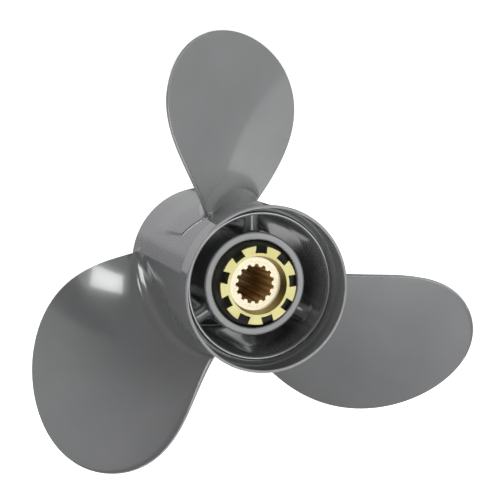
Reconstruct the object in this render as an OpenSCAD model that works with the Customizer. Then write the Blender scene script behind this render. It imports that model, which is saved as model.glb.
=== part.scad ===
// Three-blade through-hub-exhaust boat propeller, right-hand rotation.
// +Y is the shaft axis and points forward, towards the boat; +Z is up, through the first blade.
// The origin is on the axis, at the forward end of the drive sleeve, where the shaft's thrust seat is.
// Millimetres. A blade angle psi is counted clockwise from +Z, seen from the aft (-Y) end.

/* [Propeller] */
// Diameter of the circle that the blade tips sweep
prop_d = 330.2; // [300:0.1:360]
// Distance that one turn would screw forward
pitch = 482.6; // [400:0.1:560]
// Number of blades, and of the ribs that carry the barrel
blade_count = 3; // [3:1:4]

/* [Barrel] */
// Outer diameter of the exhaust barrel
barrel_d = 104; // [100:1:112]
// Length of the whole hub, from the aft rim to the front edge
hub_length = 152; // [145:1:165]
// How far the barrel reaches forward of the thrust seat
front_reach = 16; // [12:1:20]
// Bore of the barrel at its aft throat
throat_d = 92.2; // [88:0.1:94]
// Bore of the barrel where the two halves of its core meet
parting_d = 90.2; // [86:0.1:92]
// Distance of that parting line from the aft rim
parting_depth = 48; // [40:1:60]
// Bore of the barrel just behind its front lip
front_bore_d = 88; // [86:0.1:92]
// Opening in the front lip, the narrowest place of the exhaust passage
front_lip_d = 79.2; // [78:0.1:86]
// Length of the front lip along the shaft
front_lip_length = 8; // [4:1:12]
// Diameter of the recess that the gearcase's end enters
register_d = 97; // [95:0.5:99]
// Depth of that recess
register_depth = 12; // [8:1:14]

/* [Flare ring] */
// Outer diameter of the flare at the aft rim
rim_d = 108.4; // [106:0.1:116]
// Outer diameter of the flare at its front edge
ridge_d = 105; // [104.4:0.1:106]
// Length of the flare ring
flare_length = 19.7; // [15:0.1:26]
// Inner diameter of the flare at the aft rim
flare_mouth_d = 104.6; // [102:0.1:106]
// Diameter of the spigot on the barrel that the ring sits on
spigot_d = 99; // [97:0.5:100]
// Distance of the rounded throat lip from the aft rim
lip_depth = 16.3; // [14:0.1:18]

/* [Core tube and ribs] */
// Outer diameter of the core tube
core_d = 68.2; // [66:0.1:72]
// Bore of the core tube, which holds the rubber bush
core_bore_d = 57.8; // [56:0.1:60]
// Distance of the core tube's aft end from the aft rim
core_depth = 26.6; // [22:0.1:32]
// Gap between the core tube's front end and the thrust seat
core_front_gap = 3; // [2:1:8]
// Thickness of a rib
rib_thickness = 9.6; // [5:0.1:11]
// Distance of the ribs' aft ends from the aft rim
rib_depth = 33; // [30:1:46]
// Gap between the ribs' front ends and the thrust seat
rib_front_gap = 11; // [6:1:20]

/* [Drive bush] */
// Distance of the rubber's aft face from the aft rim
rubber_depth = 29; // [28:0.5:34]
// Gap between the rubber's front face and the thrust seat
rubber_front_gap = 21; // [10:1:40]
// Outer diameter of the brass sleeve
sleeve_d = 35; // [32:0.5:38]
// Distance of the sleeve's aft face, where the nut's washer sits, from the aft rim
seat_depth = 26.8; // [26:0.1:28]
// Running clearance on the radius, both inside and outside the rubber
slip_gap = 0.05; // [0.02:0.01:0.09]

/* [Spline] */
// Number of spline teeth
spline_teeth = 15; // [13:1:17]
// Diameter across the spline's roots
spline_root_d = 25.2; // [25:0.1:26]
// Diameter across the spline's tips
spline_tip_d = 21.9; // [21:0.1:23]
// Bore of the plain pilot at the front of the sleeve
pilot_d = 25.6; // [25.5:0.1:27]
// Length of that pilot
pilot_length = 12; // [8:1:20]

/* [Lug ring] */
// Number of lugs
lug_count = 9; // [6:1:12]
// Diameter across the lugs
lug_d = 51.4; // [48:0.1:54]
// Diameter at the bottom of the slots between the lugs
lug_root_d = 42.2; // [40:0.1:44]
// Width of a slot
slot_width = 7.5; // [5:0.1:9]
// Thickness of the lugs
lug_thickness = 3; // [2:0.1:4]
// Distance of the lugs' aft face from the aft rim
lug_depth = 18.9; // [17:0.1:22]
// Diameter of the ring's recess at its mouth
recess_d = 38.4; // [36:0.1:40]
// Diameter of that recess at its floor
recess_floor_d = 35.2; // [35.1:0.1:36]
// Angle of the first lug
lug_phase = 25; // [0:1:39]

/* [Hidden] */

PAINT = [0.47, 0.47, 0.47];
BRASS = [0.90, 0.82, 0.45];
RUBBER = [0.13, 0.13, 0.11];

// Stations along the shaft axis, all from the thrust seat at y = 0
front_lip_slope = 4;
rim_y = front_reach - hub_length;
register_y = front_reach - register_depth;
front_lip_y = register_y - front_lip_length;
front_bore_y = front_lip_y - front_lip_slope;
ridge_y = rim_y + flare_length;
lip_y = rim_y + lip_depth;
parting_y = rim_y + parting_depth;
core_aft_y = rim_y + core_depth;
rib_aft_y = rim_y + rib_depth;
rubber_aft_y = rim_y + rubber_depth;
seat_y = rim_y + seat_depth;
lug_y = rim_y + lug_depth;

// Smaller features of the castings and the sleeve
edge_r = 1.2;
core_edge_r = 1.6;
lip_r = 1.7;
groove_w = 1.6;
ring_stop_gap = 0.3;
tooth_r = 1.5;
tooth_phase = 18;

// Blade: law of the section at span fraction q, 0 on the barrel and 1 at the tip circle
tip_r = prop_d / 2;
root_r = barrel_d / 2;
root_clearance = 0.04;
span = tip_r - root_r;
edge_t = 2.0;
root_t = 8.6;
tip_t = 3.2;
fillet_r = 15;
end_fillet_r = 4;
end_growth = 0.5;
edge_reach = 0.8;
cup_width = 3.4;
cup_height = 1.0;
span_steps = 22;
chord_steps = 30;
edge_steps = 4;
cap_steps = 10;

// y and z swap so that what is drawn standing along z lies along the shaft
module along_shaft() { rotate([-90, 0, 0]) children(); }

// What is drawn along the local +x direction points at blade angle psi
module at_angle(psi) { along_shaft() rotate(psi - 90) children(); }

// Solid of revolution about the shaft; the profile's points are [radius, y]
module turned(profile) { along_shaft() rotate_extrude($fn = 120) polygon(profile); }

// Round bar or drill along the shaft
module shaft_cylinder(r, y0, y1) { along_shaft() translate([0, 0, y0]) cylinder(r = r, h = y1 - y0, $fn = 120); }

// Points of an arc from angle a0 to a1 about a centre, for profiles
function arc(cx, cy, r, a0, a1, n = 4) =
    [for (i = [0:n]) let (a = a0 + (a1 - a0) * i / n) [cx + r * cos(a), cy + r * sin(a)]];

// Radius of the barrel's bore at a station; it narrows forward from the throat to the front lip
function bore_r(y) = y < parting_y
    ? parting_d / 2 + (throat_d - parting_d) / 2 * (parting_y - y) / (parting_y - lip_y)
    : parting_d / 2 + (front_bore_d - parting_d) / 2 * (y - parting_y) / (front_bore_y - parting_y);

module barrel() {
    lip = arc(throat_d / 2 + lip_r, lip_y + lip_r, lip_r, 180, 270);
    color(PAINT)
    turned(concat(
        [[front_lip_d / 2, register_y], [front_lip_d / 2, front_lip_y],
         [front_bore_d / 2, front_bore_y], [parting_d / 2, parting_y]],
        lip,
        [[spigot_d / 2 - groove_w, lip_y], [spigot_d / 2 - groove_w / 2, lip_y + groove_w],
         [spigot_d / 2, lip_y + groove_w], [spigot_d / 2, ridge_y], [barrel_d / 2, ridge_y]],
        arc(barrel_d / 2 - edge_r, front_reach - edge_r, edge_r, 0, 90),
        [[register_d / 2, front_reach], [register_d / 2, register_y]]
    ));
}

module flare_ring() {
    color(PAINT)
    turned(concat(
        [[spigot_d / 2, ridge_y], [spigot_d / 2, lip_y + groove_w]],
        arc(flare_mouth_d / 2 + edge_r / 2, rim_y + edge_r / 2, edge_r / 2, 180, 270),
        arc(rim_d / 2 - edge_r / 2, rim_y + edge_r / 2, edge_r / 2, 270, 360),
        [[ridge_d / 2, ridge_y]]
    ));
}

module core_tube() {
    color(PAINT)
    turned(concat(
        [[core_bore_d / 2, -core_front_gap]],
        [[core_bore_d / 2, core_aft_y + core_edge_r / 2],
         [core_bore_d / 2 + core_edge_r / 2, core_aft_y]],
        arc(core_d / 2 - core_edge_r, core_aft_y + core_edge_r, core_edge_r, 270, 360),
        [[core_d / 2, -core_front_gap]]
    ));
}

// Annular room between the core tube and the barrel's bore, which the ribs bridge
module rib_room() {
    front_y = -rib_front_gap;
    turned([[core_d / 2, rib_aft_y], [core_d / 2, front_y], [bore_r(front_y), front_y],
            [bore_r(parting_y), parting_y], [bore_r(rib_aft_y), rib_aft_y]]);
}

// Radial rib with a round aft edge
module rib(i) {
    length = -rib_front_gap - rib_aft_y;
    color(PAINT)
    intersection() {
        rib_room();
        at_angle(360 / blade_count * i) {
            translate([0, -rib_thickness / 2, rib_aft_y + rib_thickness / 2])
                cube([barrel_d / 2, rib_thickness, length]);
            translate([0, 0, rib_aft_y + rib_thickness / 2])
                rotate([0, 90, 0]) cylinder(d = rib_thickness, h = barrel_d / 2, $fn = 48);
        }
    }
}

// Half of the blade's chord: broadest past mid-span, closing round at the tip
function half_chord(q) = (60.1 + 94 * q * q - 71.2 * pow(q, 3)) * sqrt(1 - pow(q, 2.5));
// Angle and station of mid-chord: swept back and raked aft
function mid_psi(q) = 2.9 - 6.6 * q - 4.9 * q * q;
function mid_y(q) = -48.2 - 54.2 * q + 4.2 * q * q;
function helix_angle(r) = atan(pitch / (2 * PI * r));

// Thickness of the section at chord fraction u, -1 at the trailing and 1 at the leading edge
function thickness(q, u) =
    edge_t + (root_t + (tip_t - root_t) * q - edge_t) * (1 - u * u) * (1 - pow(q, 8));
// The trailing edge turns aft in a narrow cup, which fades out close to root and tip
function cup(q, from_edge) = cup_height * pow(sin(180 * q), 0.4)
    * pow(max(0, 1 - from_edge / cup_width), 1.3);
// How far a fillet of radius r stands proud at height h above the barrel
function fillet(h, r) = h >= r ? 0 : r - sqrt(r * r - pow(r - h, 2));
// Root fillet: broad amidships, small at the blade's edges
function root_growth(q, u) =
    fillet(q * span, end_fillet_r + (fillet_r - end_fillet_r) * pow(max(0, 1 - u * u), 0.7));

// Point at s along the chord and n across it, on the cylinder of radius r
function on_cylinder(q, r, s, n) = let (
        b = helix_angle(r),
        psi = mid_psi(q) + (s * cos(b) - n * sin(b)) / r * 180 / PI,
        y = mid_y(q) + s * sin(b) + n * cos(b)
    ) [r * sin(psi), y, r * cos(psi)];

// Span fraction of ring i; the rings lie close together in the fillet and at the tip
function ring_q(i) = i == span_steps ? 0.9996 : 1 - pow(1 - pow(i / span_steps, 1.45), 1.9);

// One closed section, as [s, n] pairs: pressure face, leading edge, back, trailing edge
function section(q) = let (
        c = max(half_chord(q), 1.5) - edge_reach * edge_t / 2,
        edge_n = edge_t / 2 + root_growth(q, 1),
        edge_s = edge_reach * edge_t / 2 + end_growth * root_growth(q, 1),
        face = [for (j = [0:chord_steps]) let (u = -cos(180 * j / chord_steps))
            [u * c, -edge_t / 2 - root_growth(q, u) - cup(q, (1 + u) * c)]],
        nose = [for (j = [1:edge_steps - 1]) let (a = -90 + 180 * j / edge_steps)
            [c + edge_s * cos(a), edge_n * sin(a)]],
        back = [for (j = [0:chord_steps]) let (u = cos(180 * j / chord_steps))
            [u * c, thickness(q, u) - edge_t / 2 + root_growth(q, u) - cup(q, (1 + u) * c)]],
        tail = [for (j = [1:edge_steps - 1]) let (a = 90 + 180 * j / edge_steps)
            [-c + edge_s * cos(a), edge_n * sin(a) - cup(q, 0)]]
    ) concat(face, nose, back, tail);

module blade(i) {
    rings = [for (k = [0:span_steps]) let (q = ring_q(k))
        [for (p = section(q)) on_cylinder(q, root_r + root_clearance + span * q, p[0], p[1])]];
    n = len(rings[0]);
    half = n / 2;
    tail_point = n - edge_steps / 2;
    // Rows across the root, from the face to the point of the back that faces it, follow the
    // barrel's curve; row 0 is the trailing edge's own point and the last row the leading edge's
    function low(k) = (tail_point + k) % n;
    function high(k) = (tail_point - k + n) % n;
    root = section(0);
    rows = [for (k = [1:half - 1]) let (a = root[low(k)], b = root[high(k)])
        for (m = [1:cap_steps - 1]) let (p = a + (b - a) * m / cap_steps)
            on_cylinder(0, root_r + root_clearance, p[0], p[1])];
    rows_start = n * (span_steps + 1);
    function cap(k, m) = m == 0 ? low(k) : m == cap_steps ? high(k)
        : rows_start + (k - 1) * (cap_steps - 1) + m - 1;
    walls = [for (k = [0:span_steps - 1]) for (j = [0:n - 1])
        let (a = k * n + j, b = k * n + (j + 1) % n) each [[a, a + n, b], [b, a + n, b + n]]];
    cap_faces = [for (k = [1:half - 2]) for (m = [0:cap_steps - 1])
        each [[cap(k, m), cap(k + 1, m), cap(k + 1, m + 1)],
              [cap(k, m), cap(k + 1, m + 1), cap(k, m + 1)]]];
    cap_ends = [for (m = [0:cap_steps - 1])
        each [[low(0), cap(1, m), cap(1, m + 1)],
              [low(half), cap(half - 1, m + 1), cap(half - 1, m)]]];
    tip = [for (j = [1:n]) n * (span_steps + 1) - j];
    color(PAINT)
    rotate([0, 360 / blade_count * i, 0])
    polyhedron(concat([for (ring = rings) each ring], rows),
               concat(walls, cap_faces, cap_ends, [tip]), convexity = 6);
}

module rubber_bush() {
    color(RUBBER)
    difference() {
        shaft_cylinder(core_bore_d / 2 - slip_gap, rubber_aft_y, -rubber_front_gap);
        shaft_cylinder(sleeve_d / 2 + slip_gap, rubber_aft_y - 1, 1 - rubber_front_gap);
    }
}

// Outline of the splined hole: a round hole with rounded teeth standing inwards
module spline_outline() {
    difference() {
        circle(d = spline_root_d, $fn = 90);
        for (i = [0:spline_teeth - 1]) rotate(tooth_phase - 90 + 360 / spline_teeth * i) {
            translate([spline_tip_d / 2 + tooth_r, 0]) circle(r = tooth_r, $fn = 24);
            translate([spline_tip_d / 2 + tooth_r, -tooth_r]) square([tooth_r * 2, tooth_r * 2]);
        }
    }
}

module spline_sleeve() {
    color(BRASS)
    difference() {
        shaft_cylinder(sleeve_d / 2, seat_y, 0);
        along_shaft() translate([0, 0, seat_y - 1]) linear_extrude(height = -seat_y - pilot_length + 2)
            spline_outline();
        shaft_cylinder(pilot_d / 2, -pilot_length, 1);
    }
}

module lug_ring() {
    ring_front_y = rubber_aft_y - ring_stop_gap;
    lug_back_y = lug_y + lug_thickness;
    color(BRASS)
    difference() {
        turned([[recess_d / 2, lug_y], [lug_d / 2, lug_y], [lug_d / 2, lug_back_y],
                [lug_root_d / 2, lug_back_y], [lug_root_d / 2, ring_front_y],
                [sleeve_d / 2, ring_front_y], [sleeve_d / 2, seat_y], [recess_floor_d / 2, seat_y]]);
        for (i = [0:lug_count - 1])
            at_angle(lug_phase + 360 / lug_count * (i + 0.5))
                translate([lug_root_d / 2, -slot_width / 2, lug_y - 1])
                    cube([lug_d / 2, slot_width, lug_thickness + 2]);
    }
}

barrel();
flare_ring();
core_tube();
rib(0);  // rib_1
rib(1);  // rib_2
rib(2);  // rib_3
blade(0);  // blade_1
blade(1);  // blade_2
blade(2);  // blade_3
rubber_bush();
spline_sleeve();
lug_ring();
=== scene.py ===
"""Looks of a three-blade through-hub boat propeller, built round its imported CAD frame.

Lengths are in millimetres until a mesh is made. Stations along the shaft are in the row frame's y,
and an angle psi is counted clockwise from +Z as seen from the aft (-Y) end.
"""
import math

import bmesh
import bpy
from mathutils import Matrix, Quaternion, Vector

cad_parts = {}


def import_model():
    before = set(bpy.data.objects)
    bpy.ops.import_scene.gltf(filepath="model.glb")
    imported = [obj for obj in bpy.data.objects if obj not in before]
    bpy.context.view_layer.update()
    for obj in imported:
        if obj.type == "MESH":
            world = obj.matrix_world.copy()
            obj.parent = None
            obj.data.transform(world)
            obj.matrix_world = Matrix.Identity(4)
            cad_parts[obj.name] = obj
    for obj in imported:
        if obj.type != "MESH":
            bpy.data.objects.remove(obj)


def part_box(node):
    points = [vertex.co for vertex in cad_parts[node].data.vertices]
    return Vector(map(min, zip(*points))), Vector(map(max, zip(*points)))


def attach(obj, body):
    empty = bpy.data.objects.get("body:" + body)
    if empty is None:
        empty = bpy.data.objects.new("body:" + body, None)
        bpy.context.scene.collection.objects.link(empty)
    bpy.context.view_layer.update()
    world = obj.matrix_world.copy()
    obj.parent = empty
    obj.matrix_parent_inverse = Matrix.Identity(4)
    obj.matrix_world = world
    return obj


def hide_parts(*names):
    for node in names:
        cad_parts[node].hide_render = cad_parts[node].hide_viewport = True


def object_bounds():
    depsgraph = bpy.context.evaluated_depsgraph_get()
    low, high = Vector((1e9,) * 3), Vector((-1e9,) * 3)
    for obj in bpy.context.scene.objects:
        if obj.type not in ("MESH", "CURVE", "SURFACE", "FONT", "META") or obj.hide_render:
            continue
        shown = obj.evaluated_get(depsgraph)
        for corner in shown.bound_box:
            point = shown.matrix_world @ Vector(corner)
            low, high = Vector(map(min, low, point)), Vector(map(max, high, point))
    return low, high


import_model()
cad_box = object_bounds()

MM = 0.001
TAU = 2 * math.pi


# ---------------------------------------------------------------- driving dimensions

def stations(node):
    """Aft and forward ends of a CAD node, in mm."""
    low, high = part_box(node)
    return low[1] / MM, high[1] / MM


RIM_Y, RIDGE_Y = stations("flare_ring")
LIP_Y, FRONT_Y = stations("barrel")
CORE_AFT_Y, CORE_FRONT_Y = stations("core_tube")
RIB_AFT_Y, RIB_FRONT_Y = stations("rib_1")
RUBBER_AFT_Y, RUBBER_FRONT_Y = stations("rubber_bush")
SEAT_Y, THRUST_Y = stations("spline_sleeve")
LUG_Y, LUG_FRONT_Y = stations("lug_ring")

BARREL_R = 52.0
RIM_R = 54.2
RIDGE_R = 52.5
FLARE_MOUTH_R = 52.3
SPIGOT_R = 49.5
THROAT_R = 46.1
PARTING_R = 45.1
PARTING_DEPTH = 48
PARTING_Y = RIM_Y + PARTING_DEPTH
FRONT_BORE_R = 44.0
FRONT_LIP_R = 39.6
FRONT_LIP_LENGTH = 8
FRONT_LIP_SLOPE = 4
REGISTER_R = 48.5
REGISTER_DEPTH = 12
REGISTER_Y = FRONT_Y - REGISTER_DEPTH
FRONT_LIP_Y = REGISTER_Y - FRONT_LIP_LENGTH
FRONT_BORE_Y = FRONT_LIP_Y - FRONT_LIP_SLOPE
CORE_R = 34.1
CORE_BORE_R = 28.9
RIB_T = 9.6
RIB_FILLET = 4.0
RIB_NOSE = 3.0
RUBBER_R = 28.85
SLEEVE_R = 17.5
SPLINE_ROOT_R = 12.6
SPLINE_TIP_R = 10.95
SPLINE_TEETH = 15
SPLINE_PHASE = 18
TOOTH_R = 1.5
PILOT_R = 12.8
PILOT_LENGTH = 12
PILOT_Y = THRUST_Y - PILOT_LENGTH
LUG_COUNT = 9
LUG_PHASE = 25
LUG_R = 25.7
LUG_ROOT_R = 21.1
LUG_T = 3.0
SLOT_W = 7.5
RECESS_R = 19.2
RECESS_FLOOR_R = 17.6

BLADES = 3
TIP_R = 165.1
PITCH = 482.6
EDGE_T = 2.0
ROOT_T = 8.6
TIP_T = 3.2

ROUND_STEPS = 240
ARC_STEPS = 5
MERGE_DISTANCE = 0.001
# How near a point or a face's centre counts as lying on a surface
ON_SKIN = 0.01
ON_FACE = 0.1
# Degrees: faces that meet at more than this shade sharp, and half the angle of a straight corner
SHARP_ANGLE = 38
STRAIGHT_HALF_ANGLE = 89
# Distance of the first point beside a profile's corner, and the longest stretch without a point
CORNER_MARGIN = 0.4
LONGEST_STRETCH = 6.0


# ---------------------------------------------------------------- mesh helpers

def make_object(name, points, faces, material, body, node, slot):
    """A smooth-shaded mesh in the row frame that stands for one CAD node."""
    mesh = bpy.data.meshes.new(name)
    mesh.from_pydata([Vector(p) * MM for p in points], [], faces)
    mesh.validate()
    shell = bmesh.new()
    shell.from_mesh(mesh)
    bmesh.ops.remove_doubles(shell, verts=shell.verts, dist=MERGE_DISTANCE * MM)
    bmesh.ops.recalc_face_normals(shell, faces=shell.faces)
    shell.to_mesh(mesh)
    shell.free()
    mesh.materials.append(material)
    mesh.polygons.foreach_set("use_smooth", [True] * len(mesh.polygons))
    mesh.set_sharp_from_angle(angle=math.radians(SHARP_ANGLE))
    obj = bpy.data.objects.new(name, mesh)
    bpy.context.collection.objects.link(obj)
    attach(obj, body)
    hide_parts(node)
    return obj


def polar(r, y, psi):
    """Point at radius r, station y and angle psi (radians)."""
    return (r * math.sin(psi), y, r * math.cos(psi))


def rounded(corners):
    """Profile from [r, y, fillet radius] corners of a closed outline, each corner cut by an arc."""
    profile = []
    count = len(corners)
    for i, (r, y, fillet) in enumerate(corners):
        here = Vector((r, y))
        if fillet <= 0:
            profile.append(here)
            continue
        back = (Vector(corners[i - 1][:2]) - here).normalized()
        ahead = (Vector(corners[(i + 1) % count][:2]) - here).normalized()
        half = math.acos(max(-1, min(1, back.dot(ahead)))) / 2
        if half > math.radians(STRAIGHT_HALF_ANGLE):
            profile.append(here)
            continue
        run = fillet / math.tan(half)
        centre = here + (back + ahead).normalized() * (fillet / math.sin(half))
        start = here + back * run - centre
        sweep = math.pi - 2 * half
        turn = 1 if back.x * ahead.y - back.y * ahead.x < 0 else -1
        for k in range(ARC_STEPS + 1):
            a = turn * sweep * k / ARC_STEPS
            c, s = math.cos(a), math.sin(a)
            profile.append(centre + Vector((c * start.x - s * start.y, s * start.x + c * start.y)))
    return profile


def ring_faces(rings, per_ring, closed_rings=True):
    """Quads between neighbouring rings of points, and if closed from the last to the first."""
    faces = []
    last = rings if closed_rings else rings - 1
    for i in range(last):
        for j in range(per_ring):
            a = i * per_ring + j
            b = i * per_ring + (j + 1) % per_ring
            c = (i + 1) % rings * per_ring + (j + 1) % per_ring
            d = (i + 1) % rings * per_ring + j
            faces.append((a, b, c, d))
    return faces


def supported(profile):
    """Profile with points beside the ends of its long stretches, so that these shade flat."""
    result = []
    for i, here in enumerate(profile):
        result.append(here)
        ahead = profile[(i + 1) % len(profile)]
        run = (ahead - here).length
        if run > 4 * CORNER_MARGIN:
            inner = run - 2 * CORNER_MARGIN
            steps = max(1, math.ceil(inner / LONGEST_STRETCH))
            for k in range(steps + 1):
                result.append(here.lerp(ahead, (CORNER_MARGIN + inner * k / steps) / run))
    return result


def lathe(name, corners, **owner):
    """Solid of revolution about the shaft from rounded [r, y, fillet] corners."""
    profile = supported(rounded(corners))
    angles = [TAU * j / ROUND_STEPS for j in range(ROUND_STEPS)]
    points = [polar(p.x, p.y, a) for p in profile for a in angles]
    return make_object(name, points, ring_faces(len(profile), ROUND_STEPS), **owner)


def bore_r(y):
    """Radius of the barrel's bore, which narrows forward from the throat to the front lip."""
    if y < PARTING_Y:
        return PARTING_R + (THROAT_R - PARTING_R) * (PARTING_Y - y) / (PARTING_Y - LIP_Y)
    return PARTING_R + (FRONT_BORE_R - PARTING_R) * (y - PARTING_Y) / (FRONT_BORE_Y - PARTING_Y)


# ---------------------------------------------------------------- materials

def new_material(name):
    """Material with one Principled shader wired to its output."""
    material = bpy.data.materials.new(name)
    material.use_nodes = True
    tree = material.node_tree
    tree.nodes.clear()
    output = tree.nodes.new("ShaderNodeOutputMaterial")
    shader = tree.nodes.new("ShaderNodeBsdfPrincipled")
    tree.links.new(shader.outputs["BSDF"], output.inputs["Surface"])
    return material, tree, shader


def object_noise(tree, scale, detail):
    """Noise over the object's own coordinates; scale is in features per metre."""
    coords = tree.nodes.new("ShaderNodeTexCoord")
    noise = tree.nodes.new("ShaderNodeTexNoise")
    noise.inputs["Scale"].default_value = scale
    noise.inputs["Detail"].default_value = detail
    tree.links.new(coords.outputs["Object"], noise.inputs["Vector"])
    return noise.outputs["Fac"]


# Factors at which a two-tone ramp reaches its first and its second colour
TONE_STOPS = (0.3, 0.7)


def two_tone(tree, factor, first, second):
    """Colour that passes from the first to the second as the factor grows."""
    node = tree.nodes.new("ShaderNodeValToRGB")
    for k, colour in enumerate((first, second)):
        element = node.color_ramp.elements[k]
        element.position = TONE_STOPS[k]
        element.color = (*colour, 1)
    tree.links.new(factor, node.inputs["Fac"])
    return node.outputs["Color"]


def map_range(tree, factor, low, high, from_low=0.0, from_high=1.0):
    """Factor carried from its own range to low and high, and held between them."""
    node = tree.nodes.new("ShaderNodeMapRange")
    node.inputs["From Min"].default_value = from_low
    node.inputs["From Max"].default_value = from_high
    node.inputs["To Min"].default_value = low
    node.inputs["To Max"].default_value = high
    tree.links.new(factor, node.inputs["Value"])
    return node.outputs["Result"]


def bump(tree, shader, height, strength, distance):
    """Relief from a height socket on the shader's normal; distance is in metres."""
    node = tree.nodes.new("ShaderNodeBump")
    node.inputs["Strength"].default_value = strength
    node.inputs["Distance"].default_value = distance
    tree.links.new(height, node.inputs["Height"])
    tree.links.new(node.outputs["Normal"], shader.inputs["Normal"])


def radius_node(tree):
    """Distance from the shaft axis, in metres, over the object's own coordinates."""
    coords = tree.nodes.new("ShaderNodeTexCoord")
    flat = tree.nodes.new("ShaderNodeVectorMath")
    flat.operation = "MULTIPLY"
    flat.inputs[1].default_value = (1, 0, 1)
    length = tree.nodes.new("ShaderNodeVectorMath")
    length.operation = "LENGTH"
    tree.links.new(coords.outputs["Object"], flat.inputs[0])
    tree.links.new(flat.outputs["Vector"], length.inputs[0])
    return length.outputs["Value"]


def mix_colour(tree, factor, base, other):
    """Base colour socket blended towards a plain colour."""
    node = tree.nodes.new("ShaderNodeMix")
    node.data_type = "RGBA"
    node.inputs["B"].default_value = (*other, 1)
    tree.links.new(factor, node.inputs["Factor"])
    tree.links.new(base, node.inputs["A"])
    return node.outputs["Result"]


def combine(tree, operation, a, b):
    """Value of a Math node over two sockets."""
    node = tree.nodes.new("ShaderNodeMath")
    node.operation = operation
    tree.links.new(a, node.inputs[0])
    tree.links.new(b, node.inputs[1])
    return node.outputs["Value"]


def station_node(tree):
    """Place along the shaft, in metres, over the object's own coordinates."""
    coords = tree.nodes.new("ShaderNodeTexCoord")
    split = tree.nodes.new("ShaderNodeSeparateXYZ")
    tree.links.new(coords.outputs["Object"], split.inputs["Vector"])
    return split.outputs["Y"]


PAINT_DEEP = (0.203, 0.207, 0.209)
PAINT_PALE = (0.229, 0.233, 0.235)
# Colours painted onto convex edges as a highlight and into grooves and creases as shade
PAINTED_EDGE_HIGHLIGHT = (0.55, 0.54, 0.56)
PAINTED_GROOVE_SHADE = (0.06, 0.06, 0.06)
PAINT_METALLIC = 0.5
PAINT_ROUGHNESS = (0.12, 0.19)
COAT_WEIGHT = 0.6
COAT_ROUGHNESS = 0.04
# Pointiness over which grooves darken with painted shade and edges lighten with a painted highlight,
# and how far each goes at most
GROOVE_POINTINESS = (0.470, 0.488)
GROOVE_MOST = 0.7
EDGE_POINTINESS = (0.512, 0.530)
EDGE_MOST = 0.6
# Stations, in metres, between which the painted edge highlight fades out: the front end has none
HIGHLIGHT_ENDS = (-0.012, -0.006)
PAINT_TONE_SCALE = 22
PAINT_GLOSS_SCALE = 60
PEEL_SCALE = 60
PEEL_STRENGTH = 0.015
PEEL_HEIGHT = 0.0006

BRASS_TONE_SCALE = 90
TURNING_SCALE = 2600
TURNING_ROUGHNESS = (-0.06, 0.08)
TURNING_STRENGTH = 0.12
TURNING_HEIGHT = 0.0002

RUBBER_DEEP = (0.028, 0.027, 0.020)
RUBBER_PALE = (0.045, 0.044, 0.033)
RUBBER_ROUGHNESS = (0.42, 0.6)
RUBBER_TONE_SCALE = 70
GRAIN_SCALE = 900
GRAIN_STRENGTH = 0.2
GRAIN_HEIGHT = 0.0003


def grey_paint():
    """Gloss metallic grey enamel with a clear coat; its colour is painted bright on edges as a
    highlight and dark in grooves as shade.
    """
    material, tree, shader = new_material("grey_enamel")
    tone = object_noise(tree, PAINT_TONE_SCALE, detail=3)
    colour = two_tone(tree, tone, PAINT_DEEP, PAINT_PALE)
    pointiness = tree.nodes.new("ShaderNodeNewGeometry").outputs["Pointiness"]
    # Painted shade: grooves and creases darken by their pointiness
    groove = map_range(tree, pointiness, GROOVE_MOST, 0.0, *GROOVE_POINTINESS)
    colour = mix_colour(tree, groove, colour, PAINTED_GROOVE_SHADE)
    # Painted highlight: convex edges lighten by their pointiness, fading out towards the front end
    edge = map_range(tree, pointiness, 0.0, EDGE_MOST, *EDGE_POINTINESS)
    highlight_reach = map_range(tree, station_node(tree), 1.0, 0.0, *HIGHLIGHT_ENDS)
    edge_highlight = combine(tree, "MULTIPLY", edge, highlight_reach)
    colour = mix_colour(tree, edge_highlight, colour, PAINTED_EDGE_HIGHLIGHT)
    tree.links.new(colour, shader.inputs["Base Color"])
    gloss = object_noise(tree, PAINT_GLOSS_SCALE, detail=4)
    tree.links.new(map_range(tree, gloss, *PAINT_ROUGHNESS), shader.inputs["Roughness"])
    shader.inputs["Metallic"].default_value = PAINT_METALLIC
    shader.inputs["Coat Weight"].default_value = COAT_WEIGHT
    shader.inputs["Coat Roughness"].default_value = COAT_ROUGHNESS
    peel = object_noise(tree, PEEL_SCALE, detail=0)
    bump(tree, shader, peel, PEEL_STRENGTH, PEEL_HEIGHT)
    return material


def brass(name, pale, deep, rough, metal=1.0):
    """Turned brass: fine rings about the shaft and a slightly uneven tone."""
    material, tree, shader = new_material(name)
    radius = radius_node(tree)
    rings = tree.nodes.new("ShaderNodeTexNoise")
    rings.noise_dimensions = "1D"
    rings.inputs["Scale"].default_value = TURNING_SCALE
    rings.inputs["Detail"].default_value = 3
    tree.links.new(radius, rings.inputs["W"])
    tone = object_noise(tree, BRASS_TONE_SCALE, detail=4)
    tree.links.new(two_tone(tree, tone, deep, pale), shader.inputs["Base Color"])
    smoothest, roughest = (rough + change for change in TURNING_ROUGHNESS)
    tree.links.new(map_range(tree, rings.outputs["Fac"], smoothest, roughest),
                   shader.inputs["Roughness"])
    shader.inputs["Metallic"].default_value = metal
    bump(tree, shader, rings.outputs["Fac"], TURNING_STRENGTH, TURNING_HEIGHT)
    return material


def bush_rubber():
    """Moulded rubber: dark olive black with a fine matt grain."""
    material, tree, shader = new_material("bush_rubber")
    tone = object_noise(tree, RUBBER_TONE_SCALE, detail=4)
    colour = two_tone(tree, tone, RUBBER_DEEP, RUBBER_PALE)
    tree.links.new(colour, shader.inputs["Base Color"])
    grain = object_noise(tree, GRAIN_SCALE, detail=3)
    tree.links.new(map_range(tree, grain, *RUBBER_ROUGHNESS), shader.inputs["Roughness"])
    bump(tree, shader, grain, GRAIN_STRENGTH, GRAIN_HEIGHT)
    return material


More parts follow.
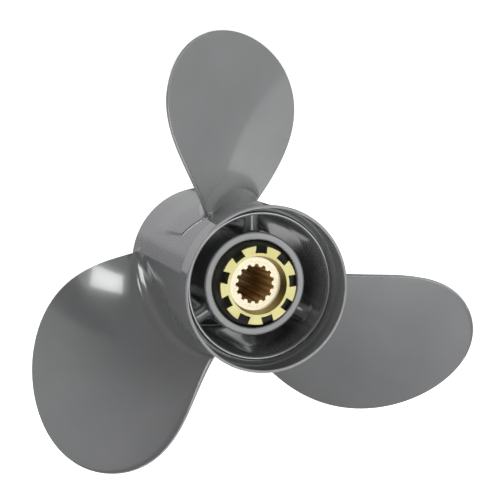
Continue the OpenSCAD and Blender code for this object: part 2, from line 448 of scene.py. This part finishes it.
PAINT = grey_paint()
BRASS = brass("turned_brass", (0.86, 0.81, 0.41), (0.77, 0.71, 0.31), 0.30)
# Paler copy of the turned brass for the sleeve's aft face: the paler colour is a painted highlight,
# its lower roughness the real faced finish
HIGHLIT_FACE_BRASS = brass("faced_brass_painted_highlight", (0.96, 0.88, 0.70), (0.90, 0.80, 0.56), 0.27)
# Darker copy of the turned brass for the recess wall round the splined hole: painted shade
SHADED_RECESS_BRASS = brass("recess_brass_painted_shade", (0.62, 0.50, 0.20), (0.52, 0.41, 0.15), 0.30)
SPLINE_BRASS = brass("broached_brass", (0.70, 0.49, 0.22), (0.54, 0.36, 0.14), 0.34, metal=0.5)
RUBBER = bush_rubber()
CASTING = dict(material=PAINT, body="casting", slot="grey_paint")


# ---------------------------------------------------------------- barrel, ring and core

# Pads: each side is a line through two (s, y) points; s runs round the barrel from psi = 0 of a
# blade's own turn
PAD_HEIGHT = 0.9
PAD_AFT_STEP = 0.8
PAD_SIDE_STEP = 1.5
PAD_SIDE_SPREAD = 0.12
PAD_AFT = ((-31.7, -95.8), (-49.0, -85.0))
PAD_SIDE = ((-49.0, -85.0), (-52.0, -40.0))
PAD_FADE_FROM = -60
PAD_FADE_TO = -12
PAD_COLUMNS = 840
PAD_ROW = 0.4
PAD_FINE_FROM = -101
PAD_FINE_TO = -82
PLAIN_ROW = 2.0
# Lengths of barrel at its aft and front ends that have no rows of their own
ROWS_FROM_RIDGE = 1
ROWS_FROM_FRONT = 2
# Aft lip of the barrel: how far its face stops short of the spigot, and the groove round it
LIP_STEP = 1.6
GROOVE_DEPTH = 0.7
GROOVE_LENGTH = 1.8
# Flare ring: how far forward of the barrel's lip it starts to flare, and its ridge and seam
FLARE_START = 2.0
RIDGE_SWELL = 0.35
SEAM = 0.1
# How far a rib starts below the core's surface, and how much longer it is than the gap it fills
RIB_SUNK = 0.6
RIB_EXCESS = 1.0


def side_of(line, s, y):
    """Distance of (s, y) from a line through two points, positive on its right."""
    (s0, y0), (s1, y1) = line
    run = math.hypot(s1 - s0, y1 - y0)
    return ((s - s0) * (y1 - y0) - (y - y0) * (s1 - s0)) / run


def smoothstep(value, start, end):
    """0 before the start, 1 past the end and an even curve between them."""
    w = max(0, min(1, (value - start) / (end - start)))
    return w * w * (3 - 2 * w)


def pad_height(psi, y):
    """Height of the raised pad beside each blade's trailing root, 0 away from the pads."""
    step = TAU / BLADES
    s = BARREL_R * ((psi + step / 2) % step - step / 2)
    root_slope = PITCH / (TAU * BARREL_R)
    beside = (mid_y(0) - y) + root_slope * (s - BARREL_R * mid_psi(0))
    if beside > 0:
        return 0
    aft = smoothstep(side_of(PAD_AFT, s, y), 0, PAD_AFT_STEP)
    spread = PAD_SIDE_STEP + PAD_SIDE_SPREAD * max(0, y - PAD_SIDE[0][1])
    left = smoothstep(side_of(PAD_SIDE, s, y), -spread / 2, spread / 2)
    return PAD_HEIGHT * aft * left * (1 - smoothstep(y, PAD_FADE_FROM, PAD_FADE_TO))


def outer_rows():
    """Stations along the barrel's outside, close together where the pads step up."""
    rows = []
    y = RIDGE_Y + ROWS_FROM_RIDGE
    while y < FRONT_Y - ROWS_FROM_FRONT:
        rows.append(y)
        y += PAD_ROW if PAD_FINE_FROM < y < PAD_FINE_TO else PLAIN_ROW
    return rows


def barrel():
    """Exhaust barrel, from [r, y, fillet] corners, with the raised pads on its outside."""
    corners = [
        (BARREL_R, RIDGE_Y, 0.4), (BARREL_R, FRONT_Y, 1.2), (REGISTER_R, FRONT_Y, 0.8),
        (REGISTER_R, REGISTER_Y, 0.6), (FRONT_LIP_R, REGISTER_Y, 0.8), (FRONT_LIP_R, FRONT_LIP_Y, 2.0),
        (FRONT_BORE_R, FRONT_BORE_Y, 2.0), (PARTING_R, PARTING_Y, 0), (THROAT_R, LIP_Y, 1.6),
        (SPIGOT_R - LIP_STEP, LIP_Y, 1.2), (SPIGOT_R - GROOVE_DEPTH, LIP_Y + GROOVE_LENGTH, 0.3),
        (SPIGOT_R, LIP_Y + GROOVE_LENGTH, 0.1), (SPIGOT_R, RIDGE_Y, 0.1),
    ]
    corners[1:1] = [(BARREL_R, y, 0) for y in outer_rows()]
    profile = supported(rounded(corners))
    points = []
    for p in profile:
        for j in range(PAD_COLUMNS):
            psi = TAU * j / PAD_COLUMNS
            outside = p.x > BARREL_R - ON_SKIN and p.y > RIDGE_Y + ROWS_FROM_RIDGE
            points.append(polar(p.x + pad_height(psi, p.y) if outside else p.x, p.y, psi))
    return make_object("exhaust_barrel", points, ring_faces(len(profile), PAD_COLUMNS),
                       node="barrel", **CASTING)


def flare_ring():
    """Flared ring round the barrel's aft spigot, with a low ridge where they meet."""
    return lathe("exhaust_flare", [
        (SPIGOT_R, RIDGE_Y, 0.1), (SPIGOT_R, LIP_Y + FLARE_START, 0.3), (FLARE_MOUTH_R, RIM_Y, 0.6),
        (RIM_R, RIM_Y, 0.8), (RIDGE_R + RIDGE_SWELL, RIDGE_Y - SEAM, 0.5),
        (BARREL_R - SEAM, RIDGE_Y + SEAM, 0.1),
    ], node="flare_ring", **CASTING)


def core_tube():
    """Tube in the middle that holds the rubber bush."""
    return lathe("core_tube_shell", [
        (CORE_BORE_R, CORE_AFT_Y, 0.9), (CORE_R, CORE_AFT_Y, 1.0), (CORE_R, CORE_FRONT_Y, 1.5),
        (CORE_BORE_R, CORE_FRONT_Y, 0.9),
    ], node="core_tube", **CASTING)


def corner_growth(depth, radius):
    """How far a fillet of this radius stands proud, at this depth from the wall that it meets."""
    if depth >= radius:
        return 0
    return radius - math.sqrt(radius ** 2 - (radius - depth) ** 2)


def rib(i):
    """Radial web between core and barrel: round aft edge, filleted where it meets both."""
    psi0 = TAU * i / BLADES
    radial = 24
    around = 20
    height = PARTING_R - CORE_R
    points = []
    for k in range(radial + 1):
        w = (1 - math.cos(math.pi * k / radial)) / 2
        grow = corner_growth(height * min(w, 1 - w), RIB_FILLET)
        half_t = RIB_T / 2 + grow
        nose_y = RIB_AFT_Y + RIB_NOSE
        outline = [(-half_t, RIB_FRONT_Y)]
        for j in range(around + 1):
            a = math.pi * j / around
            outline.append((-half_t * math.cos(a), nose_y - RIB_NOSE * math.sin(a)))
        outline.append((half_t, RIB_FRONT_Y))
        for across, y in outline:
            r = CORE_R - RIB_SUNK + w * (bore_r(y) + RIB_EXCESS - CORE_R)
            depth = math.sqrt(max(r * r - across * across, 0))
            x = depth * math.sin(psi0) + across * math.cos(psi0)
            z = depth * math.cos(psi0) - across * math.sin(psi0)
            points.append((x, y, z))
    per_ring = around + 3
    faces = ring_faces(radial + 1, per_ring, closed_rings=False)
    faces.append(tuple(range(per_ring - 1, -1, -1)))
    faces.append(tuple(radial * per_ring + j for j in range(per_ring)))
    return make_object(f"exhaust_rib_{i + 1}", points, faces, node=f"rib_{i + 1}", **CASTING)


# ---------------------------------------------------------------- blades

SPAN_STEPS = 110
CHORD_STEPS = 60
EDGE_STEPS = 10
FILLET_R = 15.0
END_FILLET_R = 4.0
EDGE_REACH = 0.8
CUP_WIDTH = 4.4
CUP_HEIGHT = 1.3
SPAN = TIP_R - BARREL_R
# Laws over the span fraction q, 0 on the barrel and 1 at the tip: coefficients of 1, q, q ** 2...
HALF_CHORD_LAW = (60.1, 0, 94, -71.2)
MID_PSI_LAW = (2.9, -6.6, -4.9)
MID_Y_LAW = (-48.2, -54.2, 4.2)
# Powers that round the outline and thin the crown towards the tip; higher ones act later
CHORD_TIP_POWER = 2.5
CROWN_TIP_POWER = 8
# Powers that fade the cup towards root and tip, curve it, and fade the fillet towards the edges
CUP_FADE_POWER = 0.4
CUP_CURVE_POWER = 2
FILLET_FADE_POWER = 0.7
# Share of the root fillet's growth that lengthens the chord, and the least half chord
END_GROWTH = 0.5
LEAST_HALF_CHORD = 1.5
# Span fraction of the last ring, and powers that crowd rings towards the root and the tip
LAST_RING = 0.9997
ROOT_CROWDING = 1.6
TIP_CROWDING = 2


def law(coefficients, q):
    """Value of a polynomial at span fraction q."""
    return sum(c * q ** k for k, c in enumerate(coefficients))


def half_chord(q):
    """Half the section's length along the helix."""
    return law(HALF_CHORD_LAW, q) * math.sqrt(max(0, 1 - q ** CHORD_TIP_POWER))


def mid_psi(q):
    """Angle of the section's middle, in radians from the blade's own line."""
    return math.radians(law(MID_PSI_LAW, q))


def mid_y(q):
    """Station of the section's middle."""
    return law(MID_Y_LAW, q)


def thickness(q, u):
    """Thickness at u along the section, -1 at its trailing and 1 at its leading edge."""
    crown = ROOT_T + (TIP_T - ROOT_T) * q - EDGE_T
    return EDGE_T + crown * (1 - u * u) * (1 - q ** CROWN_TIP_POWER)


def cup(q, from_edge):
    """The trailing edge turns aft in a narrow band, which fades out close to root and tip."""
    along = math.sin(math.pi * q) ** CUP_FADE_POWER
    return CUP_HEIGHT * along * max(0, 1 - from_edge / CUP_WIDTH) ** CUP_CURVE_POWER


def on_cylinder(q, r, s, n):
    """Point at s along the chord and n across it, on the cylinder of radius r."""
    pitch_angle = math.atan(PITCH / (TAU * r))
    c, d = math.cos(pitch_angle), math.sin(pitch_angle)
    return polar(r, mid_y(q) + s * d + n * c, mid_psi(q) + (s * c - n * d) / r)


def root_growth(q, u):
    """How far the root fillet thickens the section here: broad amidships, small at the edges."""
    radius = END_FILLET_R + (FILLET_R - END_FILLET_R) * (1 - u * u) ** FILLET_FADE_POWER
    return corner_growth(q * SPAN, radius)


def section(q):
    """Closed section as (s, n) pairs: pressure face, leading edge, back, trailing edge."""
    edge_n = EDGE_T / 2 + root_growth(q, 1)
    edge_s = EDGE_REACH * EDGE_T / 2 + END_GROWTH * root_growth(q, 1)
    c = max(half_chord(q), LEAST_HALF_CHORD) - EDGE_REACH * EDGE_T / 2
    outline = []
    for j in range(CHORD_STEPS + 1):
        u = -math.cos(math.pi * j / CHORD_STEPS)
        outline.append((u * c, -EDGE_T / 2 - root_growth(q, u) - cup(q, (1 + u) * c)))
    for j in range(1, EDGE_STEPS):
        a = math.pi * j / EDGE_STEPS - math.pi / 2
        outline.append((c + edge_s * math.cos(a), edge_n * math.sin(a)))
    for j in range(CHORD_STEPS + 1):
        u = math.cos(math.pi * j / CHORD_STEPS)
        back = thickness(q, u) - EDGE_T / 2 + root_growth(q, u)
        outline.append((u * c, back - cup(q, (1 + u) * c)))
    for j in range(1, EDGE_STEPS):
        a = math.pi * j / EDGE_STEPS + math.pi / 2
        outline.append((-c + edge_s * math.cos(a), edge_n * math.sin(a) - cup(q, 0)))
    return outline


def ring_q(k):
    """Span fraction of ring k; the rings lie close together in the fillet and at the tip."""
    if k == SPAN_STEPS:
        return LAST_RING
    return 1 - (1 - (k / SPAN_STEPS) ** ROOT_CROWDING) ** TIP_CROWDING


def blade(i):
    """One blade, from its sections on cylinders about the shaft; open at the root."""
    turn = TAU * i / BLADES
    points = []
    for k in range(SPAN_STEPS + 1):
        q = ring_q(k)
        for s, n in section(q):
            x, y, z = on_cylinder(q, BARREL_R + SPAN * q, s, n)
            points.append((x * math.cos(turn) + z * math.sin(turn), y,
                           z * math.cos(turn) - x * math.sin(turn)))
    per_ring = len(points) // (SPAN_STEPS + 1)
    faces = ring_faces(SPAN_STEPS + 1, per_ring, closed_rings=False)
    faces.append(tuple(range(SPAN_STEPS * per_ring, (SPAN_STEPS + 1) * per_ring)))
    return make_object(f"propeller_blade_{i + 1}", points, faces, node=f"blade_{i + 1}", **CASTING)


# ---------------------------------------------------------------- rubber, sleeve and lugs

# Rubber: width of its face inside the lugs' root, its two chamfers and its gap on the sleeve
RUBBER_FACE = 2.5
RUBBER_SHOULDER = 2.4
RUBBER_CHAMFER = 0.9
RUBBER_LEAD = 3
SLEEVE_GAP = 0.05
# Spline: steps round half a tooth and along a root, and the root's distance in flank angles
TOOTH_STEPS = 6
SPLINE_ROOT_STEPS = 8
CLEAR_OF_TOOTH = 1.15
# Sleeve: flare and depth of the spline's mouth, and the chamfer at the thrust end
MOUTH_FLARE = 0.5
MOUTH_DEPTH = 0.7
SLEEVE_CHAMFER = 0.8
# Steps across half a slot's floor and along a lug's crest, and the bevel on the ring's edges
SLOT_STEPS = 4
CREST_STEPS = 12
LUG_BEVEL = 0.2
BEVEL_ANGLE = 40


def rubber():
    """Rubber bush between the core tube and the sleeve, chamfered at its aft end."""
    return lathe("rubber_hub_bush", [
        (LUG_ROOT_R - RUBBER_FACE, RUBBER_AFT_Y, 0), (LUG_ROOT_R, RUBBER_AFT_Y, 0),
        (RUBBER_R - RUBBER_SHOULDER, RUBBER_AFT_Y, 0.5),
        (RUBBER_R - RUBBER_CHAMFER, RUBBER_AFT_Y + RUBBER_CHAMFER, 0.5),
        (RUBBER_R, RUBBER_AFT_Y + RUBBER_LEAD, 0.4), (RUBBER_R, RUBBER_FRONT_Y, 2.0),
        (SLEEVE_R + SLEEVE_GAP, RUBBER_FRONT_Y, 0), (SLEEVE_R + SLEEVE_GAP, RUBBER_AFT_Y, 0),
    ], material=RUBBER, body="bush", node="rubber_bush", slot="bush_rubber")


def spline_radii():
    """(psi, radius) round the splined hole: rounded teeth that stand in from the root circle."""
    step = TAU / SPLINE_TEETH
    centre_r = SPLINE_TIP_R + TOOTH_R
    shape = []
    for j in range(-TOOTH_STEPS, TOOTH_STEPS + 1):
        a = math.pi * j / (2 * TOOTH_STEPS)
        shape.append((TOOTH_R * math.sin(a), centre_r - TOOTH_R * math.cos(a)))
    flank = TOOTH_R / SPLINE_ROOT_R
    tooth = [(math.atan2(x, r), math.hypot(x, r)) for x, r in shape]
    root = []
    start = CLEAR_OF_TOOTH * flank
    for j in range(SPLINE_ROOT_STEPS + 1):
        root.append((start + (step - 2 * start) * j / SPLINE_ROOT_STEPS, SPLINE_ROOT_R))
    result = []
    for t in range(SPLINE_TEETH):
        base = math.radians(SPLINE_PHASE) + step * t
        result += [(base + a, r) for a, r in tooth + root]
    return result


def spline_sleeve():
    """Brass sleeve: splined hole, plain pilot bore at the thrust end, and a smooth outside."""
    outline = spline_radii()

    def spline(y, wider=0.0):
        return [polar(r + wider, y, psi) for psi, r in outline]

    def circle(r, y):
        return [polar(r, y, psi) for psi, _ in outline]

    chamfer_y = THRUST_Y - SLEEVE_CHAMFER
    levels = [
        spline(SEAT_Y, MOUTH_FLARE), spline(SEAT_Y + MOUTH_DEPTH), spline(PILOT_Y),
        circle(PILOT_R, PILOT_Y), circle(PILOT_R, chamfer_y),
        circle(PILOT_R + SLEEVE_CHAMFER, THRUST_Y), circle(SLEEVE_R - SLEEVE_CHAMFER, THRUST_Y),
        circle(SLEEVE_R, chamfer_y), circle(SLEEVE_R, SEAT_Y),
    ]
    points = [p for level in levels for p in level]
    faces = [tuple(reversed(f)) for f in ring_faces(len(levels), len(outline))]
    obj = make_object("splined_sleeve", points, faces, material=BRASS, body="drive",
                      node="spline_sleeve", slot="brass")
    obj.data.materials.append(SPLINE_BRASS)
    obj.data.materials.append(HIGHLIT_FACE_BRASS)
    for face in obj.data.polygons:
        r = math.hypot(face.center.x, face.center.z) / MM
        y = face.center.y / MM
        if r < PILOT_R - ON_FACE and SEAT_Y + MOUTH_DEPTH < y < PILOT_Y - ON_FACE:
            face.material_index = 1
        # The sleeve's aft face takes the paler brass, a painted highlight
        elif y < SEAT_Y + ON_FACE:
            face.material_index = 2
    return obj


def lug_outline():
    """(radius, psi, psi at the lugs' root) round the ring: lugs parted by parallel-sided slots."""
    step = TAU / LUG_COUNT
    half_outer = step / 2 - math.asin(SLOT_W / 2 / LUG_R)
    half_inner = step / 2 - math.asin(SLOT_W / 2 / LUG_ROOT_R)
    result = []
    for k in range(LUG_COUNT):
        base = math.radians(LUG_PHASE) + step * k
        for j in range(SLOT_STEPS + 1):
            a = base - step / 2 + (step / 2 - half_inner) * j / SLOT_STEPS
            result.append((LUG_ROOT_R, a, a))
        for j in range(CREST_STEPS + 1):
            side = 2 * j / CREST_STEPS - 1
            result.append((LUG_R, base + half_outer * side, base + half_inner * side))
        for j in range(SLOT_STEPS):
            a = base + half_inner + (step / 2 - half_inner) * j / SLOT_STEPS
            result.append((LUG_ROOT_R, a, a))
    return result


def lug_ring():
    """Ring of lugs at the sleeve's aft end, with a recess round the splined hole."""
    outline = lug_outline()
    lug_back = LUG_Y + LUG_T

    def circle(r, y):
        return [polar(r, y, root_psi) for _, _, root_psi in outline]

    def lugs(y):
        return [polar(r, y, psi) for r, psi, _ in outline]

    levels = [
        circle(RECESS_R, LUG_Y), circle(LUG_ROOT_R, LUG_Y), lugs(LUG_Y),
        lugs(lug_back), circle(LUG_ROOT_R, lug_back), circle(LUG_ROOT_R, LUG_FRONT_Y),
        circle(SLEEVE_R, LUG_FRONT_Y), circle(SLEEVE_R, SEAT_Y), circle(RECESS_FLOOR_R, SEAT_Y),
    ]
    points = [p for level in levels for p in level]
    obj = make_object("tab_washer_lug_ring", points, ring_faces(len(levels), len(outline)),
                      material=BRASS, body="drive", node="lug_ring", slot="brass")
    obj.data.materials.append(SHADED_RECESS_BRASS)
    for face in obj.data.polygons:
        # The recess wall takes the darker brass, painted shade
        r = math.hypot(face.center.x, face.center.z) / MM
        if RECESS_FLOOR_R < r < RECESS_R:
            face.material_index = 1
    bevel = obj.modifiers.new("edges", "BEVEL")
    bevel.width = LUG_BEVEL * MM
    bevel.segments = 3
    bevel.limit_method = "ANGLE"
    bevel.angle_limit = math.radians(BEVEL_ANGLE)
    bevel.harden_normals = True
    return obj


barrel()
flare_ring()
core_tube()
for index in range(BLADES):
    rib(index)
    blade(index)
rubber()
spline_sleeve()
lug_ring()


# ---------------------------------------------------------------- studio

HUB = Vector((0, (RIM_Y + FRONT_Y) / 2, 0)) * MM
ROOM_LIGHT = 0.60
ROOM_DARK = 0.03
BACKDROP_LIGHT = 0.50
TINT_LEFT = (1.0, 0.965, 1.0)
TINT_RIGHT = (0.965, 1.0, 0.995)
FLAG_DIRECTION = (0.31, 0.95, 0.03)
FLAG_SIZE = 0.17
FLAG_EDGE = 0.04
# Fades of the room and the backdrop: start and end, along one axis of the direction looked in,
# and, where a fade doesn't end at 0 or 1, the level that it has there
CEILING_FADE = (0.15, 0.5)
GROUND_FADE = (-0.15, -0.5)
ZENITH_FADE = (0.75, 0.97)
ZENITH_LEVEL = 0.5
RIGHT_FADE = (0.45, 0.8)
LEFT_FADE = (-0.6, 0.1)
LEFT_LEVEL = 0.4
AHEAD_FADE = (0.3, 0.8)
AHEAD_LEVEL = 0.15
BACKDROP_FADE = (0.75, 0.88)
BACKDROP_SIDE_FADE = (-0.32, -0.08)
BACKDROP_SIDE_LEVEL = 0.5
BACKDROP_UP_FADE = (0.0, 0.12)
BACKDROP_LEFT_FADE = (-0.55, -0.25)
BACKDROP_TOP_FADE = (0.55, 0.35)
TINT_REACH = 0.4

FLOOR_SIZE = 30
FLOOR_DROP = 0.20
FLOOR_WHITE = (0.9, 0.9, 0.9, 1)
FLOOR_ROUGHNESS = 0.9

CAMERA_PLACE = (-0.344075, -1.197125, 0.170119)
CAMERA_AZIMUTH = -17.39
CAMERA_ELEVATION = 7.388
CAMERA_LENS = 127.62
CAMERA_SENSOR = 36
CAMERA_NEAR = 0.05


def from_hub(azimuth, elevation):
    """Unit vector away from the hub; azimuth 0 is aft and grows to the right, in degrees."""
    az, el = math.radians(azimuth), math.radians(elevation)
    return Vector((math.sin(az) * math.cos(el), -math.cos(az) * math.cos(el), math.sin(el)))


def floor():
    """Pale glowing floor well below the propeller, which its shaft would hold up."""
    bpy.ops.mesh.primitive_plane_add(size=FLOOR_SIZE, location=(0, 0, cad_box[0].z - FLOOR_DROP))
    plane = bpy.context.object
    plane.name = "studio_floor"
    plane.visible_glossy = False
    plane.visible_shadow = False
    material, tree, shader = new_material("studio_floor")
    shader.inputs["Base Color"].default_value = FLOOR_WHITE
    shader.inputs["Roughness"].default_value = FLOOR_ROUGHNESS
    shader.inputs["Emission Color"].default_value = (1, 1, 1, 1)
    shader.inputs["Emission Strength"].default_value = 1.0
    plane.data.materials.append(material)


def softbox(name, azimuth, elevation, distance, width, height, radiance, roll=0.0, seen=True):
    """Rectangular lamp that faces the hub; angles are in degrees and lengths in metres.

    A lamp that isn't seen lights the propeller but shows in none of its reflections.
    """
    away = from_hub(azimuth, elevation)
    data = bpy.data.lights.new(name, "AREA")
    data.shape = "RECTANGLE"
    data.size, data.size_y = width, height
    data.energy = radiance * math.pi * width * height
    light = bpy.data.objects.new(name, data)
    light.location = HUB + away * distance
    turn = Quaternion((0, 0, 1), math.radians(roll))
    light.rotation_euler = ((-away).to_track_quat("-Z", "Y") @ turn).to_euler()
    light.visible_camera = False
    light.visible_glossy = seen
    bpy.context.collection.objects.link(light)


def world():
    """White to the camera; to the propeller, a grey room, a pale backdrop ahead and a dark flag."""
    sky = bpy.data.worlds.new("studio")
    sky.use_nodes = True
    tree = sky.node_tree
    coords = tree.nodes.new("ShaderNodeTexCoord")
    direction = coords.outputs["Generated"]
    split = tree.nodes.new("ShaderNodeSeparateXYZ")
    tree.links.new(direction, split.inputs["Vector"])
    x, y, z = (split.outputs[axis] for axis in "XYZ")

    def fade(value, ends, low=0.0, high=1.0):
        result = map_range(tree, value, low, high, *ends)
        result.node.interpolation_type = "SMOOTHSTEP"
        return result

    def times(first, *others):
        for other in others:
            first = combine(tree, "MULTIPLY", first, other)
        return first

    def greater(a, b):
        return combine(tree, "MAXIMUM", a, b)

    steep = greater(fade(z, CEILING_FADE), fade(z, GROUND_FADE))
    steep = times(steep, fade(z, ZENITH_FADE, 1.0, ZENITH_LEVEL))
    bright = times(greater(steep, fade(x, RIGHT_FADE)),
                   fade(y, AHEAD_FADE, 1.0, AHEAD_LEVEL), fade(x, LEFT_FADE, LEFT_LEVEL, 1.0))
    room = map_range(tree, bright, ROOM_DARK, ROOM_LIGHT)
    side = fade(x, BACKDROP_SIDE_FADE, BACKDROP_SIDE_LEVEL, 1.0)
    above = times(fade(z, BACKDROP_UP_FADE), fade(x, BACKDROP_LEFT_FADE))
    flag = tree.nodes.new("ShaderNodeVectorMath")
    flag.operation = "DISTANCE"
    flag.inputs[1].default_value = FLAG_DIRECTION
    tree.links.new(direction, flag.inputs[0])
    unflagged = fade(flag.outputs["Value"], (FLAG_SIZE, FLAG_SIZE + FLAG_EDGE))
    backdrop = times(fade(y, BACKDROP_FADE), greater(side, above), fade(z, BACKDROP_TOP_FADE),
                     unflagged)
    backdrop = map_range(tree, backdrop, 0.0, BACKDROP_LIGHT)
    lit = tree.nodes["Background"]
    across = map_range(tree, x, 0.0, 1.0, -TINT_REACH, TINT_REACH)
    tree.links.new(two_tone(tree, across, TINT_LEFT, TINT_RIGHT), lit.inputs["Color"])
    tree.links.new(combine(tree, "ADD", room, backdrop), lit.inputs["Strength"])
    plain = tree.nodes.new("ShaderNodeBackground")
    plain.inputs["Color"].default_value = (1, 1, 1, 1)
    path = tree.nodes.new("ShaderNodeLightPath")
    pick = tree.nodes.new("ShaderNodeMixShader")
    tree.links.new(path.outputs["Is Camera Ray"], pick.inputs[0])
    tree.links.new(lit.outputs["Background"], pick.inputs[1])
    tree.links.new(plain.outputs["Background"], pick.inputs[2])
    tree.links.new(pick.outputs["Shader"], tree.nodes["World Output"].inputs["Surface"])
    bpy.context.scene.world = sky


def camera():
    """Camera of the photo: aft of the propeller, a little to the left and above."""
    data = bpy.data.cameras.new("camera")
    data.sensor_width = CAMERA_SENSOR
    data.lens = CAMERA_LENS
    data.clip_start = CAMERA_NEAR
    obj = bpy.data.objects.new("camera", data)
    obj.location = CAMERA_PLACE
    back = from_hub(CAMERA_AZIMUTH, CAMERA_ELEVATION)
    obj.rotation_euler = (-back).to_track_quat("-Z", "Y").to_euler()
    bpy.context.collection.objects.link(obj)
    bpy.context.scene.camera = obj


floor()
world()
softbox("overhead", 85, 62, 1.6, 0.40, 0.29, 4.6, roll=44)
softbox("overhead_left", -114, 61, 1.6, 0.22, 0.22, 3.6)
softbox("window", -129, 27, 1.8, 0.45, 1.1, 3.6)
softbox("table", 97.5, -40, 1.5, 1.6, 1.12, 0.35, roll=22)
softbox("front", 17, -7, 2.0, 0.6, 0.6, 1.85)
softbox("fill_left", -38, 42, 2.0, 1.2, 1.2, 2.0, seen=False)
softbox("fill_low", -25, -48, 2.0, 1.0, 1.0, 1.3, seen=False)
softbox("fill_right", 58, -10, 2.0, 1.2, 1.2, 2.2, seen=False)
softbox("fill_top", -150, 60, 2.0, 1.0, 1.0, 2.0, seen=False)
camera()
bpy.context.scene.view_settings.view_transform = "Standard"
